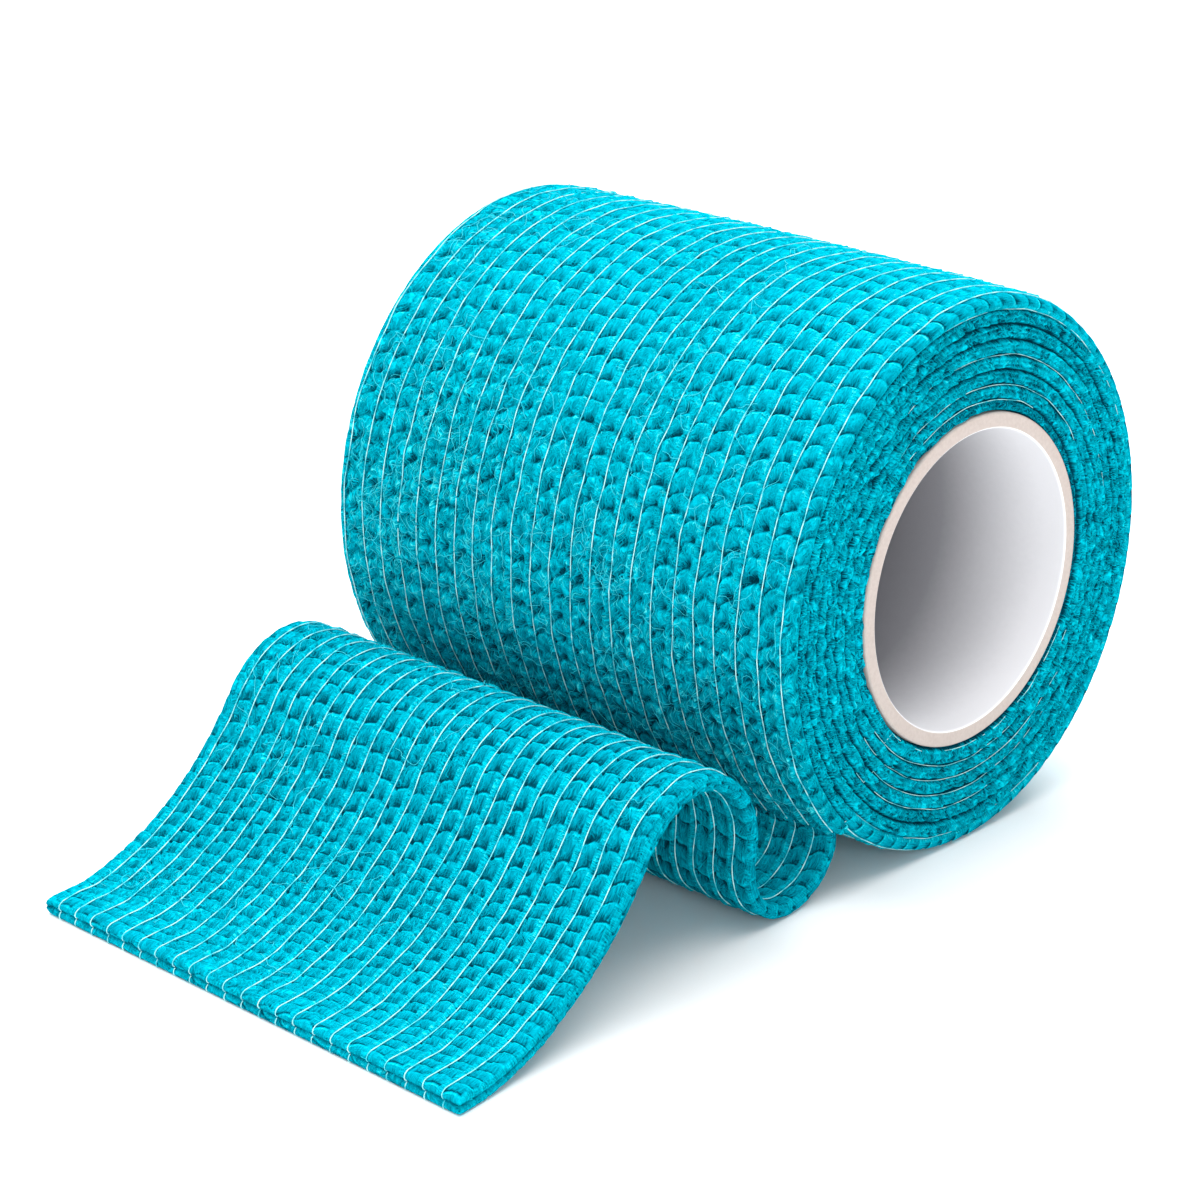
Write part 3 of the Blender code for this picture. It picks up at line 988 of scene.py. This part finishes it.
def thread_lines(place, height_of, pitch, start, end, seed):
    """The places along every thread of one surface. Each is drawn tight over the cloth beside
    it, so it goes from high point to high point and not down into the pits."""
    lines = []
    window = np.arange(-0.6, 0.61, 0.2) * ROW_PITCH
    for thread in range(THREADS):
        s = np.r_[np.arange(start, end - FINE_END, THREAD_STEP),
                  np.arange(end - FINE_END, end, THREAD_STEP / 4)]
        middle = (thread - (THREADS - 1) / 2) * pitch
        beside = [height_of(np.full_like(s, middle) + off, s + step)
                  for off in (-0.16 * MM, 0.16 * MM) for step in window]
        tight = np.percentile(beside, 70, axis=0)
        tight = np.convolve(np.pad(tight, 2, mode="edge"), np.full(5, 0.2), mode="valid")
        u = middle + kinks(s, seed + thread, 0.11 * MM)
        lift = kinks(s, seed + 100 + thread, 0.04 * MM)
        lines.append(place(u, s, tight + 0.6 * THREAD_RADIUS + lift))
    return lines


lines = thread_lines(outer_turn_place, roll_height, THREAD_PITCH, 0.0, TURN_LENGTH, seed=200)
thread_curve("roll_threads", lines, thread_material)

# %% [markdown]
# The outermost thread of a turn sometimes slips off the cut edge, and shows on the end of the roll
# as a pale line between two turns. The photograph shows it here and there on the right end.

# %% Thread ends that lie between the turns at the right end
EDGE_THREAD_RADIUS = 0.030 * MM
EDGE_THREADS = (
    # turns inwards, start and end angle
    (1, 5, 105), (1, 225, 300), (3, 230, 280), (4, 10, 120), (4, 220, 310),
    (5, 230, 320), (6, 20, 130), (6, 215, 330), (7, 60, 140), (7, 215, 330),
)
lines = []
for number, (turns_in, start, end) in enumerate(EDGE_THREADS):
    angle = np.arange(start, end, 1.5)
    behind = np.where(angle > PEEL_ANGLE, 360.0, 0.0)
    radius = outer_radius(angle - behind - 360 * turns_in)
    wobble = kinks(np.radians(angle) * radius, 500 + number, 0.07 * MM)
    x = np.full_like(angle, WIDTH / 2 - 0.22 * MM) + kinks(angle, 520 + number, 0.12 * MM, 9.0)
    lines.append(lifted(spiral_place(x, radius + wobble, angle)))
thread_curve("edge_threads", lines, thread_material, radius=EDGE_THREAD_RADIUS)

# %% [markdown]
# The loose end shows its threads on both sides. Each side has its own set, which runs from the
# peel over its own ply's part of the hem's edge and ends in the groove.

# %% Threads of the loose end, over the hem and on the underside
HEM_WRAP = LOOSE_FLAT_LENGTH + 0.8 * RIM_LENGTH
for side, name in ((1, "loose_threads_upper"), (-1, "loose_threads_lower")):
    lines = thread_lines(lambda u, s, h: loose_place(u, s, h, side),
                         lambda u, s: loose_height(u, s, side),
                         LOOSE_THREAD_PITCH, 0.0, HEM_WRAP, seed=300 if side > 0 else 400)
    thread_curve(name, lines, thread_material)

# %% [markdown]
# ## Stray fibres
#
# Where the cloth is matted, single fibres have come loose and curl over the puffs and threads.
# Each is a short thin curve that turns a little at every step and lifts off the cloth between its
# ends.

# %% Stray fibres
fibre_material, tree, shader = new_material("loose_polypropylene_fibre", 0.7, specular=0.2)
shader.inputs["Base Color"].default_value = linear("30D2E2")
FIBRE_RADIUS = 0.026 * MM
FIBRE_STEP = 0.3 * MM
FIBRE_LIFT = 0.03 * MM


def fibre_lines(place, height_of, matted, half_width, start, end, count, seed):
    """Curling lines over one side of the cloth, more of them where it is matted."""
    rng = np.random.default_rng(seed)
    lines = []
    while len(lines) < count:
        u0 = rng.uniform(-half_width, half_width)
        s0 = rng.uniform(start, end)
        steps = rng.integers(6, 17)
        wander = rng.uniform(0, math.tau) + np.cumsum(rng.normal(0.0, 0.4, steps))
        wander = wander + rng.uniform(-0.25, 0.25) * np.arange(steps)
        if rng.uniform(0.15, 1.0) > matted(np.array([u0]), np.array([s0]))[0]:
            continue
        u = np.clip(u0 + FIBRE_STEP * np.cumsum(np.cos(wander)), -half_width, half_width)
        s = np.clip(s0 + FIBRE_STEP * np.cumsum(np.sin(wander)), start, end)
        rise = np.sin(np.pi * np.arange(steps) / (steps - 1)) * rng.uniform(0.0, 0.22) * MM
        lines.append(place(u, s, height_of(u, s) + FIBRE_LIFT + rise))
    return lines


lines = fibre_lines(outer_turn_place, roll_height,
                    lambda u, s: matting(u, s, ROLL_SEED),
                    FLAT_HALF, 2 * MM, 62 * MM, 420, seed=600)
lines += fibre_lines(lambda u, s, h: loose_place(u, s, h, 1),
                     lambda u, s: loose_height(u, s, 1),
                     lambda u, s: matting(u, -s, LOOSE_SEED[1]),
                     LOOSE_FLAT_HALF, 20 * MM, LOOSE_LENGTH - 3 * MM, 60, seed=601)
thread_curve("stray_fibres", lines, fibre_material, radius=FIBRE_RADIUS, roundness=0)

# %% [markdown]
# ## The core
#
# The core is a tube wound from paperboard with a smooth white liner. Its cut rim shows the warm
# grey-beige of the board, with a thin white line where the liner is pressed round the inner
# edge. The liner's colour is painted darker towards the middle of the tube, a painted shade for
# the little light that comes there. The tube is a bevelled profile, spun about the axis.

# %% Board and liner materials
board, tree, shader = new_material("cut_paperboard", roughness=0.62)
plies = speckle(tree, 0.25 * MM, 4.0)
colour_by(tree, shader, plies, ((0.3, "BBAEA7"), (0.7, "C4B8B1")))
raise_relief(tree, shader, plies, 0.03 * MM, strength=0.4)

liner, tree, shader = new_material("white_paper_liner", roughness=0.55)
grain = speckle(tree, 0.5 * MM, 3.0)
place = add_node(tree, "ShaderNodeTexCoord")
along_core = add_node(tree, "ShaderNodeSeparateXYZ", links={"Vector": place.outputs["Object"]})
# Painted shade: the liner's colour darkens from the ends of the tube towards its middle.
painted_shade_depth = math_node(tree, "ABSOLUTE", along_core.outputs["X"])
painted_shade_depth = fade(tree, painted_shade_depth, 0.0, CORE_LENGTH / 2)
painted_shade_depth = math_node(tree, "MULTIPLY_ADD", grain, 0.04, painted_shade_depth)
colour_by(tree, shader, painted_shade_depth, ((0.0, "6A6A6F"), (0.5, "9A9A9F"), (1.0, "F0F0F3")))
raise_relief(tree, shader, grain, 0.02 * MM, strength=0.2)

# %% Build the core
CORE_STEPS = 192
RIM_ROUND = 0.22 * MM
bore = CORE_RADIUS - CORE_WALL
half = CORE_LENGTH / 2
bm = bmesh.new()
corners = [bm.verts.new(place) for place in (
    (-half, bore, 0), (-half, CORE_RADIUS, 0), (half, CORE_RADIUS, 0), (half, bore, 0))]
for i in range(4):
    bm.edges.new((corners[i], corners[(i + 1) % 4]))
bmesh.ops.bevel(bm, geom=corners, affect="VERTICES", offset=RIM_ROUND, segments=4, profile=0.5,
                material=-1, offset_type="OFFSET")
bmesh.ops.spin(bm, geom=bm.verts[:] + bm.edges[:], cent=(0, 0, 0), axis=(1, 0, 0),
               angle=math.tau, steps=CORE_STEPS, use_merge=True)
bmesh.ops.translate(bm, verts=bm.verts, vec=(0, 0, AXIS_Z))
bmesh.ops.recalc_face_normals(bm, faces=bm.faces)
for f in bm.faces:
    centre = f.calc_center_median()
    from_axis = math.hypot(centre.y, centre.z - AXIS_Z)
    f.material_index = 1 if from_axis < bore + 0.6 * RIM_ROUND else 0
core_mesh = finished_mesh("paper_core", bm)
paper_core = add_piece("paper_core", core_mesh, board)
core_mesh.materials.append(liner)
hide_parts("core")

# %% [markdown]
#
# The loose end is a sheet of cloth. Its flat size is its cut width and its length along the cloth
# from the peel to the hem.

# %% [markdown]
# ## Table, light and camera
#
# A pale table and a soft studio light from the upper left, as for a catalogue picture. The light
# is bright enough to bleach the table to white, so that only the contact shadows stay.

# %% Table
bm = bmesh.new()
bmesh.ops.create_grid(bm, x_segments=8, y_segments=8, size=3.0)
table_mesh = finished_mesh("table", bm)
paint, tree, shader = new_material("white_painted_table", roughness=0.9, specular=0.1)
cloud = speckle(tree, 1 / 6, 2.0)
colour_by(tree, shader, cloud, ((0.0, "F6F6F7"), (1.0, "FAFAFA")))
table_mesh.materials.append(paint)
table = in_scene("table", table_mesh)


# %% Soft light
def soft_box(name, place, aim, size, power):
    """An area light at place that faces aim, both in metres."""
    data = bpy.data.lights.new(name, "AREA")
    data.shape = "DISK"
    data.size = size
    data.energy = power
    light = in_scene(name, data)
    light.location = place
    direction = Vector(aim) - Vector(place)
    light.rotation_euler = direction.to_track_quat("-Z", "Y").to_euler()


MIDDLE = (0.0, -0.018, 0.015)
soft_box("overhead", (-0.25, 0.10, 0.80), MIDDLE, 1.60, 20.0)
soft_box("fill", (0.65, -0.45, 0.20), MIDDLE, 0.60, 2.5)
world = bpy.data.worlds.new("studio")
world.use_nodes = True
sky = world.node_tree.nodes["Background"].inputs
sky["Color"].default_value = (1.0, 1.0, 1.0, 1.0)
sky["Strength"].default_value = 0.55
bpy.context.scene.world = world
bpy.context.scene.view_settings.view_transform = "Standard"

# %% [markdown]
# The camera stands where the photograph's stood, as fitted to the outlines of the roll, its tube
# and the hem.

# %% Camera
CAMERA_PLACE = Vector((0.1871, -0.2195, 0.1243))
CAMERA_YAW = math.radians(-42.76)
CAMERA_PITCH = math.radians(20.82)
CAMERA_ROLL = math.radians(-0.17)
FOCAL_PIXELS = 3613
IMAGE_PIXELS = 1200
forward = Vector((math.sin(CAMERA_YAW) * math.cos(CAMERA_PITCH),
                  math.cos(CAMERA_YAW) * math.cos(CAMERA_PITCH), -math.sin(CAMERA_PITCH)))
level = Vector((math.cos(CAMERA_YAW), -math.sin(CAMERA_YAW), 0.0))
upright = level.cross(forward)
right = math.cos(CAMERA_ROLL) * level + math.sin(CAMERA_ROLL) * upright
up = -math.sin(CAMERA_ROLL) * level + math.cos(CAMERA_ROLL) * upright
lens = bpy.data.cameras.new("camera")
lens.sensor_width = 36.0
lens.lens = FOCAL_PIXELS / IMAGE_PIXELS * lens.sensor_width
camera = in_scene("camera", lens)
turn = Matrix((right, up, -forward)).transposed().to_4x4()
camera.matrix_world = Matrix.Translation(CAMERA_PLACE) @ turn
bpy.context.scene.camera = camera
